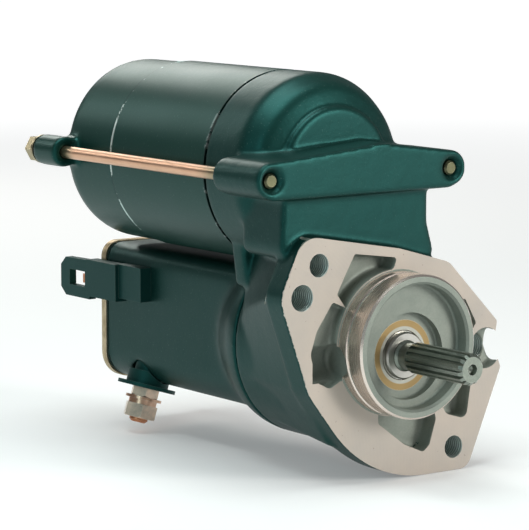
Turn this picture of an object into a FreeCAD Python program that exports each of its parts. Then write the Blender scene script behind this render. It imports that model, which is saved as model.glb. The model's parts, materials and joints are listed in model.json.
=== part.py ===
"""Offset gear-reduction starter motor with a coaxial solenoid, as separate pieces.

Frame: the origin is the centre of the pilot register on the machined mounting face.
+X is to the right seen from the front, +Y runs to the rear, +Z is up, and the output
shaft points along -Y. Sizes are millimetres.
"""
import FreeCAD, Part
import math
import os
import re
import Sketcher

V = FreeCAD.Vector
FRONT = FreeCAD.Rotation(V(1, 0, 0), 90)    # local x, y, z become X, Z and -Y: a front view
REAR = FreeCAD.Rotation(V(1, 0, 0), -90)    # local z becomes +Y
ACROSS = FreeCAD.Rotation(V(0, 1, 0), 90)   # local z becomes +X
PLAIN = FreeCAD.Rotation()

# ---------------------------------------------------------------- driving dimensions
SIZES = {
    # motor: position of its axis, yoke, rear cover and through bolts
    "motor_x": -15.7, "motor_z": 66.5,
    "yoke_radius": 39.0, "yoke_wall": 3.5, "yoke_front": 53.6, "yoke_length": 68.1,
    "cover_inset": 0.7, "cover_wall": 3.0, "cover_length": 39.5, "cover_edge": 9.0,
    "bolt_offset": 44.1, "bolt_rise": 0.9, "bolt_radius": 2.6, "bolt_thread": 2.9,
    "bolt_tip": 1.0, "ear_radius": 7.2, "ear_length": 31.0, "rear_ear_length": 18.0,
    "bolt_head": 5.0, "bolt_head_height": 6.5,
    # armature
    "armature_shaft": 6.0, "rear_journal": 4.0, "magnet_wall": 10.1, "air_gap": 0.8,
    "core_slots": 15, "commutator_radius": 15.5, "front_ball_bearing": 14.0, "front_ball_width": 8.0,
    "rear_ball_bearing": 11.0, "rear_ball_width": 7.0,
    # gear train
    "gear_module": 1.75, "pinion_teeth": 11, "idler_teeth": 17, "clutch_teeth": 38,
    "gear_width": 11.0, "backlash": 0.16, "idler_pin": 4.0, "idler_roller": 1.5,
    # clutch and output shaft
    "shaft_drop": 4.35, "tip_reach": 46.9, "shaft_radius": 6.18, "spline_length": 33.5,
    "spline_teeth": 14, "neck_radius": 5.3, "shaft_travel": 12.0,
    "clutch_bearing": 14.0, "clutch_bearing_width": 7.0, "clutch_bearing_front": -4.4,
    "sleeve_radius": 7.5, "race_radius": 11.5,
    "roller_radius": 3.0, "clutch_shell": 23.0, "clutch_front": 8.0,
    # mounting flange and pilot
    "pilot_radius": 28.575, "pilot_reach": 14.5, "pilot_wall": 3.775, "pilot_floor": 8.0,
    "shaft_window": 17.3, "flange_thickness": 12.0, "pocket_depth": 8.0, "side_pocket_depth": 4.6,
    "mount_hole": 5.2, "dowel_hole": 4.6, "hole_depth": 18.0,
    # gear case
    "case_wall": 4.0, "case_margin": 5.2, "plate_thickness": 5.8,
    # solenoid
    "box_half_width": 29.0, "box_bottom": 34.2, "box_top": 25.1, "box_wall": 3.5,
    "gasket": 1.0, "end_plate": 3.5, "coil_length": 48.0, "contact_room": 31.5,
    "plunger_radius": 11.8, "plunger_length": 27.0, "push_pin": 3.0, "core_plug_length": 13.0,
    "contact_thickness": 3.2, "disc_radius": 15.0, "disc_thickness": 2.0,
    "stud_radius": 4.0, "stud_tilt": 17.4,
    # fits
    "fit_gap": 0.05, "slip_gap": 0.1, "clear_gap": 0.3,
}


def derived(s):
    """Positions that follow from the driving sizes."""
    out = {}
    out["shaft_z"] = -s["shaft_drop"]
    out["yoke_rear"] = s["yoke_front"] + s["yoke_length"]
    out["cover_radius"] = s["yoke_radius"] - s["cover_inset"]
    out["cover_rear"] = out["yoke_rear"] + s["cover_length"]
    out["plate_front"] = s["yoke_front"] - s["plate_thickness"]
    out["gear_front"] = out["plate_front"] - s["gear_width"] - 1.8
    out["case_front"] = out["gear_front"] - 4
    wheel_tip = s["gear_module"] * (s["clutch_teeth"] / 2 + 0.9)
    out["case_radius"] = round(wheel_tip + s["case_margin"], 3)
    out["pilot_bore"] = s["pilot_radius"] - s["pilot_wall"]
    out["collar_rear"] = s["yoke_front"] + 10.4
    inner_ring = s["sleeve_radius"] + (s["clutch_bearing"] - s["sleeve_radius"]) / 3
    out["collar_radius"] = round(inner_ring - s["clear_gap"], 3)
    out["rear_ear_back"] = out["cover_rear"] + 3.8
    out["rear_ear_front"] = out["rear_ear_back"] - s["rear_ear_length"]
    out["front_ball_start"] = s["yoke_front"] - 3.6
    out["rear_ball_start"] = out["cover_rear"] - 13.7
    out["clutch_rear_start"] = s["yoke_front"] - 5.1
    out["core_radius"] = s["yoke_radius"] - s["yoke_wall"] - s["slip_gap"] - s["magnet_wall"] - s["air_gap"]
    out["core_front"] = s["yoke_front"] + 10.4
    out["core_length"] = s["yoke_length"] - 20.1
    out["commutator_front"] = out["core_front"] + out["core_length"] + 9
    out["commutator_length"] = out["rear_ball_start"] - out["commutator_front"] - 5.5
    out["shaft_tail"] = out["clutch_rear_start"] + s["clutch_bearing_width"] + 12.5 + s["shaft_travel"]
    out["coil_front"] = out["shaft_tail"] + 4
    out["coil_radius"] = s["box_half_width"] - s["box_wall"] - 0.9
    out["box_rear"] = out["coil_front"] + s["coil_length"] + s["contact_room"]
    out["stud_station"] = out["coil_front"] + s["coil_length"] + 9
    out["box_middle"] = (s["box_top"] - s["box_bottom"]) / 2
    first = s["gear_module"] * (s["pinion_teeth"] + s["idler_teeth"]) / 2
    second = s["gear_module"] * (s["idler_teeth"] + s["clutch_teeth"]) / 2
    dx = s["motor_x"]
    dz = s["motor_z"] + s["shaft_drop"]
    span = math.hypot(dx, dz)
    bend = math.acos((first ** 2 + span ** 2 - second ** 2) / (2 * first * span))
    heading = math.atan2(-dz, -dx) + bend
    out["idler_x"] = s["motor_x"] + first * math.cos(heading)
    out["idler_z"] = s["motor_z"] + first * math.sin(heading)
    onward = math.atan2(out["shaft_z"] - out["idler_z"], -out["idler_x"])
    idler_pitch = 2 * math.pi / s["idler_teeth"]
    idler_turn = heading + math.pi + idler_pitch / 2
    lag = (onward - idler_turn) % idler_pitch
    out["pinion_turn"] = math.degrees(heading)
    out["idler_turn"] = math.degrees(idler_turn)
    out["clutch_turn"] = math.degrees(onward + math.pi + lag * s["idler_teeth"] / s["clutch_teeth"]
                                      + math.pi / s["clutch_teeth"])
    return out


SIZES.update(derived(SIZES))

doc = FreeCAD.newDocument("starter_motor")
sheet = doc.addObject("Spreadsheet::Sheet", "dims")
for row, (alias, value) in enumerate(SIZES.items(), start=1):
    sheet.set("A%d" % row, alias)
    sheet.set("B%d" % row, repr(value))
    sheet.setAlias("B%d" % row, alias)
doc.recompute()

WORD = re.compile(r"\b(" + "|".join(sorted(SIZES, key=len, reverse=True)) + r")\b")
NODES = []


def bound(text):
    """The expression that FreeCAD binds, from one written with plain size names."""
    return WORD.sub(r"dims.\1", str(text))


def value(text):
    return float(sheet.evalExpression(bound(text)))


def place(obj, x="0", y="0", z="0", turn=FRONT):
    obj.Placement = FreeCAD.Placement(V(value(x), value(y), value(z)), turn)
    for axis, text in zip("xyz", (x, y, z)):
        obj.setExpression(".Placement.Base." + axis, bound(text))
    return obj


def keep(obj, name):
    obj.Label = name
    NODES.append(obj)
    return obj


# ---------------------------------------------------------------- sketches and bodies
def new_sketch(body, role, lift=None):
    sketch = body.newObject("Sketcher::SketchObject", "sketch")
    plane = [f for f in body.Origin.OriginFeatures if f.Role == role][0]
    sketch.AttachmentSupport = [(plane, "")]
    sketch.MapMode = "FlatFace"
    if lift is not None:
        sketch.setExpression(".AttachmentOffset.Base.z", bound(lift))
    return sketch


def draw(sketch, corners):
    """A closed outline of straight edges, each corner bound to its two expressions."""
    spots = [V(value(a), value(b), 0) for a, b in corners]
    count = len(spots)
    edges = [sketch.addGeometry(Part.LineSegment(spots[i], spots[(i + 1) % count]), False)
             for i in range(count)]
    for i in range(count):
        sketch.addConstraint(Sketcher.Constraint("Coincident", edges[i], 2, edges[(i + 1) % count], 1))
    for edge, spot, corner in zip(edges, spots, corners):
        for kind, number, text in zip(("DistanceX", "DistanceY"), spot, corner):
            index = sketch.addConstraint(Sketcher.Constraint(kind, -1, 1, edge, 1, number))
            sketch.setExpression("Constraints[%d]" % index, bound(text))


def extrude(body, sketch, length, kind="PartDesign::Pad", backwards=True):
    run = body.newObject(kind, "run")
    run.Profile = sketch
    run.setExpression("Length", bound(length))
    run.Reversed = backwards
    doc.recompute()
    return run


def round_corners(body, corners):
    """Fillet the upright edges of a padded outline, one feature for each radius."""
    for radius in sorted({c[2] for c in corners if len(c) > 2}):
        spots = [(value(c[0]), value(c[1])) for c in corners if len(c) > 2 and c[2] == radius]
        before = body.Tip
        names = []
        for index, edge in enumerate(before.Shape.Edges, start=1):
            a, b = edge.Vertexes[0].Point, edge.Vertexes[-1].Point
            upright = math.hypot(a.x - b.x, a.y - b.y) < 1e-4 and abs(a.z - b.z) > 0.1
            if upright and any(math.hypot(a.x - x, a.y - y) < 1e-3 for x, y in spots):
                names.append("Edge%d" % index)
        fillet = body.newObject("PartDesign::Fillet", "corner")
        fillet.Base = (before, names)
        fillet.setExpression("Radius", bound(radius))
        doc.recompute()


def plate(name, corners, front, depth, x="0", z="0"):
    """A flat piece drawn in the front view, from y = front backwards over depth."""
    body = doc.addObject("PartDesign::Body", name)
    sketch = new_sketch(body, "XY_Plane")
    draw(sketch, [c[:2] for c in corners])
    extrude(body, sketch, depth)
    round_corners(body, corners)
    return place(body, x, front, z)


def turned(name, profile, x="motor_x", z="motor_z"):
    """A piece turned about an axis along Y, from a profile of (radius, y) corners."""
    body = doc.addObject("PartDesign::Body", name)
    sketch = new_sketch(body, "XZ_Plane")
    draw(sketch, [(radius, "-(%s)" % y) for radius, y in profile])
    spin = body.newObject("PartDesign::Revolution", "spin")
    spin.Profile = sketch
    spin.ReferenceAxis = (sketch, ["V_Axis"])
    spin.Angle = 360
    doc.recompute()
    return place(body, x, "0", z)


def ring(name, inner, outer, front, back, x="motor_x", z="motor_z"):
    return turned(name, [(inner, front), (outer, front), (outer, back), (inner, back)], x, z)


def blend_edges(body, radius, chosen):
    """Fillet the edges that chosen picks out of the body's last feature."""
    before = body.Tip
    names = ["Edge%d" % i for i, edge in enumerate(before.Shape.Edges, start=1) if chosen(edge)]
    fillet = body.newObject("PartDesign::Fillet", "blend")
    fillet.Base = (before, names)
    fillet.setExpression("Radius", bound(radius))
    doc.recompute()
    return fillet


def round_at(radius, y):
    """Picks the circle of one radius at one y on a turned body."""
    def chosen(edge):
        curve = edge.Curve
        return (isinstance(curve, Part.Circle) and abs(curve.Radius - value(radius)) < 1e-3
                and abs(curve.Center.z + value(y)) < 1e-3)
    return chosen


def polar(body, first, count):
    pattern = body.newObject("PartDesign::PolarPattern", "around")
    pattern.Originals = [first]
    axis = [f for f in body.Origin.OriginFeatures if f.Role == "Z_Axis"][0]
    pattern.Axis = (axis, [""])
    pattern.Angle = 360
    pattern.setExpression("Occurrences", bound(count))
    body.Tip = pattern
    doc.recompute()
    return pattern


# ---------------------------------------------------------------- primitives and booleans
def rod(name, radius, front, length, x="0", z="0"):
    """A cylinder along Y."""
    body = doc.addObject("Part::Cylinder", name)
    body.setExpression("Radius", bound(radius))
    body.setExpression("Height", bound(length))
    return place(body, x, front, z, REAR)


def cross_rod(name, radius, left, length, y, z):
    """A cylinder along X."""
    body = doc.addObject("Part::Cylinder", name)
    body.setExpression("Radius", bound(radius))
    body.setExpression("Height", bound(length))
    return place(body, left, y, z, ACROSS)


def block(name, left, front, low, width, depth, height):
    body = doc.addObject("Part::Box", name)
    body.setExpression("Length", bound(width))
    body.setExpression("Width", bound(depth))
    body.setExpression("Height", bound(height))
    return place(body, left, front, low, PLAIN)


def fuse(name, pieces):
    body = doc.addObject("Part::MultiFuse", name)
    body.Shapes = pieces
    return body


def cut(name, base, tools):
    body = doc.addObject("Part::Cut", name)
    body.Base = base
    body.Tool = tools[0] if len(tools) == 1 else fuse(name + "_tools", tools)
    return body


def carve(name, base, tools):
    """Cuts the tools one after another, which stays sound where wide ones cross."""
    for tool in tools:
        base = cut(name, base, [tool])
    return base


def group(name, pieces):
    body = doc.addObject("Part::Compound", name)
    body.Links = pieces
    return body


def feature(name, shape, x="0", y="0", z="0", turn=FRONT):
    body = doc.addObject("Part::Feature", name)
    body.Shape = shape
    return place(body, x, y, z, turn)


def around(count, radius, start=0.0):
    """Points evenly spaced round a circle in the front view."""
    for i in range(count):
        angle = math.radians(start) + 2 * math.pi * i / count
        yield math.degrees(angle), radius * math.cos(angle), radius * math.sin(angle)


# ---------------------------------------------------------------- gears and springs
PRESSURE = math.radians(25)
ADDENDUM = 0.9
DEDENDUM = 1.2
FLANK_POINTS = 6


def gear_outline(teeth, turn):
    """An involute spur gear's outline, with a tooth centred on the angle turn in degrees."""
    module = value("gear_module")
    pitch = module * teeth / 2
    base = pitch * math.cos(PRESSURE)
    tip = pitch + ADDENDUM * module
    root = pitch - DEDENDUM * module
    thin = value("backlash") / 4 / pitch
    half = math.pi / (2 * teeth) - thin + math.tan(PRESSURE) - PRESSURE

    def flank(radius):
        angle = math.acos(min(1.0, base / radius))
        return half - (math.tan(angle) - angle)

    low = max(base, root)
    radii = [low + (tip - low) * i / (FLANK_POINTS - 1) for i in range(FLANK_POINTS)]
    edges = []

    def at(radius, angle):
        return V(radius * math.cos(angle), radius * math.sin(angle), 0)

    for i in range(teeth):
        middle = math.radians(turn) + 2 * math.pi * i / teeth
        following = middle + 2 * math.pi / teeth
        rising = [at(r, middle - flank(r)) for r in radii]
        falling = [at(r, middle + flank(r)) for r in reversed(radii)]
        foot_in = at(root, middle - flank(low))
        foot_out = at(root, middle + flank(low))
        next_foot = at(root, following - flank(low))
        up = Part.BSplineCurve()
        up.interpolate(rising)
        down = Part.BSplineCurve()
        down.interpolate(falling)
        if base > root:
            edges.append(Part.LineSegment(foot_in, rising[0]).toShape())
        edges += [up.toShape(), Part.Arc(rising[-1], at(tip, middle), falling[0]).toShape(),
                  down.toShape()]
        if base > root:
            edges.append(Part.LineSegment(falling[-1], foot_out).toShape())
        edges.append(Part.Arc(foot_out, at(root, (middle + following) / 2), next_foot).toShape())
    return Part.Face(Part.Wire(edges))


def gear(name, teeth, turn, x, z, bore):
    wheel = gear_outline(int(value(teeth)), value(turn)).extrude(V(0, 0, -value("gear_width")))
    if bore:
        hole = Part.makeCylinder(value(bore), value("gear_width"), V(0, 0, 0), V(0, 0, -1))
        wheel = wheel.cut(hole)
    return feature(name, wheel, x, "gear_front", z)


def coil(radius, wire, length, turns):
    """A helical spring's shape along local z."""
    helix = Part.makeHelix(length / turns, length, radius)
    section = Part.Wire([Part.makeCircle(wire, V(radius, 0, 0), V(0, 1, 0))])
    return Part.Wire(helix).makePipeShell([section], True, True)


# ================================================================ drive housing
FLANGE = [("-45.5", "45.6", "10"), ("2", "37.2", "24"), ("27", "30", "8"), ("52.5", "4", "1.6"),
          ("50.6", "-6"), ("54.5", "-15", "1.6"), ("37.5", "-54.8", "6"), ("-13.5", "-54.8", "58"),
          ("-42.5", "-17", "15"), ("-56.3", "21.5", "11")]
MOUNT_HOLES = [(-46.0, 21.6), (44.2, -6.6)]
DOWEL_HOLES = [(-37.9, 33.6), (30.1, -45.3)]


def drive_housing():
    ear_z = "motor_z + bolt_rise"
    left, right = "motor_x - bolt_offset", "motor_x + bolt_offset"
    flange = plate("flange", FLANGE, "0", "flange_thickness")
    pilot = turned("pilot", [("0", "1"), ("0", "-pilot_reach"), ("pilot_radius - 0.8", "-pilot_reach"),
                             ("pilot_radius", "0.8 - pilot_reach"), ("pilot_radius", "-6.6"),
                             ("pilot_radius - 0.7", "-6.2"), ("pilot_radius - 0.7", "-5.2"),
                             ("pilot_radius", "-4.8"), ("pilot_radius", "1")], "0", "0")
    # the wall that runs back from the flange to the gear case, a loft between two outlines
    taper = doc.addObject("PartDesign::Body", "taper")
    front = new_sketch(taper, "XY_Plane")
    draw(front, [("-44.5", "43.5"), ("2", "36"), ("27", "29"), ("50", "4"), ("51.5", "-15"),
                 ("36", "-53.5"), ("8", "-53.5"), ("-27", "-39.5"), ("-42", "-16"), ("-54.5", "21.5")])
    back = new_sketch(taper, "XY_Plane", "-(yoke_front - 4 - 8)")
    draw(back, [("-36", "30"), ("2", "34"), ("24", "30"), ("case_radius - 3", "10"),
                ("case_radius - 3", "-22"), ("24", "-case_radius"), ("-6", "shaft_z - case_radius + 2"),
                ("-26", "shaft_z - case_radius + 10"), ("-case_radius + 2", "-16"),
                ("-case_radius + 1", "10")])
    loft = taper.newObject("PartDesign::AdditiveLoft", "loft")
    loft.Profile = front
    loft.Sections = [back]
    loft.Ruled = True
    doc.recompute()
    place(taper, "0", "8", "0")
    dome = turned("dome", [("0", "yoke_front"), ("0", "17"), ("24.8", "17"), ("26.4", "18.2"),
                           ("26.4", "19.9"), ("27.6", "20.2"), ("34.5", "23"), ("yoke_radius", "31.5"),
                           ("yoke_radius", "yoke_front")])
    blend_edges(dome, "9", round_at("yoke_radius", "31.5"))
    blend_edges(dome, "8", round_at("34.5", "23"))
    case = rod("case", "case_radius", "case_front", "yoke_front - case_front", "0", "shaft_z")
    barrel = rod("barrel", "33", "6", "case_front", "0", "shaft_z")
    rim = plate("rim", [("-45.5", "66", "2"), ("-39.5", "20", "2"), ("34", "8", "2"), ("16", "66", "2")],
                "yoke_front - 8.5", "8.5")
    waist = plate("waist", [("-38", "62", "4"), ("-35", "10", "4"), ("32", "10", "4"), ("12", "62", "4")],
                  "26", "yoke_front - 26 - 1")
    bar = plate("bar", [("motor_x - bolt_offset", "motor_z - 7"), ("motor_x + bolt_offset", "motor_z - 7"),
                        ("motor_x + bolt_offset", "motor_z + 8"), ("-6", "motor_z + 12.6", "20"),
                        ("motor_x - bolt_offset", "motor_z + 8")], "0", "ear_length")
    ears = [rod("ear", "ear_radius", "0", "ear_length", x, ear_z) for x in (left, right)]
    neck = plate("neck", [("-50", "motor_z - 5", "3"), ("-51.5", "36", "5"), ("26", "29", "5"),
                          ("21", "46", "9"), ("21", "motor_z - 5", "2")], "6", "27")
    solid = fuse("casting", [flange, pilot, taper, dome, case, barrel, rim, waist, bar, neck] + ears)

    ear_holes = [rod("ear_hole", "bolt_thread + slip_gap", "-1", "ear_length + 2", x, ear_z)
                 for x in (left, right)]
    ear_sinks = [rod("ear_sink", "bolt_thread + 1.8", "-1", "3", x, ear_z) for x in (left, right)]
    gear_room = [
        rod("wheel_room", "case_radius - case_wall", "gear_front - 2", "yoke_front", "0", "shaft_z"),
        rod("idler_room", "gear_module * (idler_teeth / 2 + 1) + 1", "gear_front - 2", "yoke_front",
            "idler_x", "idler_z"),
        rod("pinion_room", "gear_module * (pinion_teeth / 2 + 1) + 2", "gear_front - 3", "yoke_front",
            "motor_x", "motor_z"),
        rod("plate_room", "yoke_radius - yoke_wall", "plate_front", "yoke_front", "motor_x", "motor_z"),
        plate("waist_room", waist_corners("0"), "plate_front", "yoke_front")]
    clutch_room = rod("clutch_room", "clutch_shell + 1.5", "clutch_front - 2.5", "yoke_front", "0",
                      "shaft_z")
    seat = rod("seat", "clutch_bearing + 0.02", "clutch_bearing_front", "yoke_front", "0", "shaft_z")
    window = rod("window", "shaft_window", "-pilot_reach - 1", "pilot_reach + 1 + clutch_bearing_front",
                 "0", "shaft_z")
    pilot_room = turned("pilot_room", [("0", "-pilot_floor"), ("0", "-pilot_reach - 1"),
                                       ("pilot_bore + 1.8", "-pilot_reach - 1"),
                                       ("pilot_bore", "1 - pilot_reach"), ("pilot_bore", "-pilot_floor")],
                        "0", "0")
    pin_hole = rod("pin_hole", "idler_pin + 0.02", "gear_front - 8", "20", "idler_x", "idler_z")
    holes = [rod("mount_bore", "mount_hole", "-1", "hole_depth + 1", str(x), str(z))
             for x, z in MOUNT_HOLES]
    holes += [rod("dowel_bore", "dowel_hole", "-1", "hole_depth + 1", str(x), str(z))
              for x, z in DOWEL_HOLES]
    spot_face = rod("spot_face", "8.4", "-1", "6.5", "46.4", "-6.6")
    hollow = carve("hollow", solid, gear_room + [clutch_room])
    tools = [seat, window, pilot_room, pin_hole, spot_face, breather_cut()]
    tools += holes + ear_holes + ear_sinks + lightening_pockets()
    keep(cut("drive_housing", hollow, tools), "drive_housing")


def waist_corners(gap):
    """The opening between the gear case and the motor, less a gap all round."""
    return [("-36 + " + gap, "63", "2"), ("-32 + " + gap, "10"), ("27 - " + gap, "10"),
            ("7 - " + gap, "63", "2")]


def lightening_pockets():
    """Cast pockets between the pilot and the flange's edge; the pilot keeps its own wall."""
    shapes = {
        "upper": [("-20.5", "36.8", "0.9"), ("0.6", "33.8", "1.4"), ("-1", "30", "2"), ("-14", "20"),
                  ("-22", "12"), ("-29.2", "21.6", "1.2"), ("-24.6", "29.9", "1.2")],
        "side": [("-31.2", "18.8", "1.4"), ("-23.4", "15.4", "1.4"), ("-20", "0"), ("-20", "-13.2"),
                 ("-27.4", "-12.6"), ("-32.5", "-15.2", "3"), ("-38.6", "-12.2", "3"),
                 ("-42", "-1", "5"), ("-39", "8", "8")],
        "lower": [("-8.6", "-24"), ("-8.6", "-31.6", "2"), ("4.6", "-41.4", "4"), ("14.4", "-45.6", "2"),
                  ("17.6", "-43", "2"), ("21", "-32.4", "4"), ("17", "-24")],
        "right": [("19", "-18"), ("26", "-31.4", "4"), ("36.6", "-34.6", "3"), ("39.8", "-14", "2"),
                  ("28", "-7")],
        "thin": [("24", "14"), ("35.6", "14.4", "1"), ("41.4", "4.2", "1"), ("39.6", "1.8", "1"),
                 ("25", "0")],
    }
    wall = "pilot_radius + 0.7"
    made = []
    for name, corners in shapes.items():
        depth = "side_pocket_depth" if name == "side" else "pocket_depth"
        slug = plate(name + "_pocket", corners, "-1", depth + " + 1")
        land = rod(name + "_land", wall, "-2", "pocket_depth + 4")
        made.append(cut(name + "_cut", slug, [land]))
    return made


def breather_cut():
    """A drilled channel across the side pocket, which ends in the pilot wall."""
    return cross_rod("breather", "7.2", "-41", "14.6", "2.4", "-5.6")


# ================================================================ motor
def motor_case():
    keep(ring("yoke", "yoke_radius - yoke_wall", "yoke_radius", "yoke_front + 0.05",
              "yoke_rear - 0.05"), "yoke")
    cover = turned("cover", [
        ("cover_radius - cover_wall", "yoke_rear"), ("cover_radius", "yoke_rear"),
        ("cover_radius", "cover_rear"), ("15", "cover_rear"), ("14", "cover_rear + 1.2"),
        ("0", "cover_rear + 1.2"), ("0", "cover_rear - cover_wall"), ("8", "cover_rear - cover_wall"),
        ("8", "rear_ball_start + rear_ball_width"),
        ("rear_ball_bearing + 0.02", "rear_ball_start + rear_ball_width"),
        ("rear_ball_bearing + 0.02", "rear_ball_start"), ("rear_ball_bearing + 3", "rear_ball_start"),
        ("rear_ball_bearing + 3", "cover_rear - cover_wall"),
        ("cover_radius - cover_wall - 6", "cover_rear - cover_wall"),
        ("cover_radius - cover_wall", "cover_rear - cover_wall - 6")])
    blend_edges(cover, "cover_edge", round_at("cover_radius", "cover_rear"))
    ear_z = "motor_z + bolt_rise"
    length = "rear_ear_back - rear_ear_front"
    ears, webs, holes = [], [], []
    for side in (-1, 1):
        x = "motor_x + %d * bolt_offset" % side
        ears.append(rod("rear_ear", "ear_radius - 0.6", "rear_ear_front", length, x, ear_z))
        left = "motor_x - bolt_offset" if side < 0 else "motor_x + cover_radius - cover_wall + 1"
        webs.append(block("rear_web", left, "rear_ear_front + 0.6", ear_z + " - 5.6",
                          "bolt_offset - cover_radius + cover_wall - 1", "10", "11.2"))
        holes.append(rod("rear_hole", "bolt_radius + slip_gap", "rear_ear_front - 1", length + " + 2",
                         x, ear_z))
    room = rod("cover_room", "cover_radius - cover_wall - 0.1", "yoke_rear", "cover_length - 12",
               "motor_x", "motor_z")
    lead_hole = lead_port("lead_hole", "5.05", "12", "yoke_radius - 8")
    keep(cut("rear_cover", fuse("cover_shell", [cover] + ears + webs), holes + [room, lead_hole]),
         "rear_cover")
    grommet = cut("grommet", lead_port("grommet_outer", "5", "7", "yoke_radius - 6"),
                  [lead_port("grommet_bore", "3", "9", "yoke_radius - 7")])
    keep(grommet, "lead_grommet")


def lead_port(name, radius, length, out):
    """A cylinder that leaves the rear cover on its lower right, where the motor lead goes in."""
    turn = FreeCAD.Rotation(V(0, 1, 0), 90 + 52)
    body = doc.addObject("Part::Cylinder", name)
    body.setExpression("Radius", bound(radius))
    body.setExpression("Height", bound(length))
    reach = "(%s)" % out
    return place(body, "motor_x + %s * cos(52)" % reach, "yoke_rear + 11",
                 "motor_z - %s * sin(52)" % reach, turn)


def through_bolts():
    bolts = []
    for side in (-1, 1):
        x = "motor_x + %d * bolt_offset" % side
        z = "motor_z + bolt_rise"
        shank = turned("shank", [
            ("0", "bolt_tip"), ("bolt_thread - 0.7", "bolt_tip"), ("bolt_thread", "bolt_tip + 0.7"),
            ("bolt_thread", "ear_length - 4"), ("bolt_radius", "ear_length - 3"),
            ("bolt_radius", "rear_ear_back"), ("bolt_head + 1.1", "rear_ear_back"),
            ("bolt_head + 1.1", "rear_ear_back + 1.3"), ("0", "rear_ear_back + 1.3")], x, z)
        head = hexagon("head", "bolt_head", "rear_ear_back + 1.2", "bolt_head_height - 1.2", x, z)
        bolts.append(fuse("bolt", [shank, head]))
    keep(group("bolts", bolts), "through_bolts")


def hexagon(name, half_flats, front, depth, x, z):
    body = doc.addObject("Part::Prism", name)
    body.Polygon = 6
    body.setExpression("Circumradius", bound("(%s) / cos(30)" % half_flats))
    body.setExpression("Height", bound(depth))
    return place(body, x, front, z, REAR)


def magnets():
    inner = "core_radius + air_gap"
    outer = "yoke_radius - yoke_wall - slip_gap"
    pieces, clips = [], []
    shell = Part.makeCylinder(value(outer), value("core_length + 2"))
    shell = shell.cut(Part.makeCylinder(value(inner), value("core_length + 2")))
    for angle, _, _ in around(4, 1, 45):
        wedge = Part.makeCylinder(value("yoke_radius"), value("core_length + 2"), V(0, 0, 0), V(0, 0, 1), 68)
        wedge.rotate(V(0, 0, 0), V(0, 0, 1), angle - 34)
        pieces.append(shell.common(wedge))
    for angle, _, _ in around(4, 1, 0):
        clip = Part.makeBox(1.6, value("2 * (yoke_radius - yoke_wall) * sin(9)"), value("core_length - 4"))
        clip.translate(V(value("yoke_radius - yoke_wall - 3"), -clip.BoundBox.YLength / 2, 3))
        clip.rotate(V(0, 0, 0), V(0, 0, 1), angle)
        clips.append(clip)
    for name, shapes in (("field_magnets", pieces), ("magnet_clips", clips)):
        keep(feature(name, Part.makeCompound(shapes), "motor_x", "core_front - 1", "motor_z", REAR), name)


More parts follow.
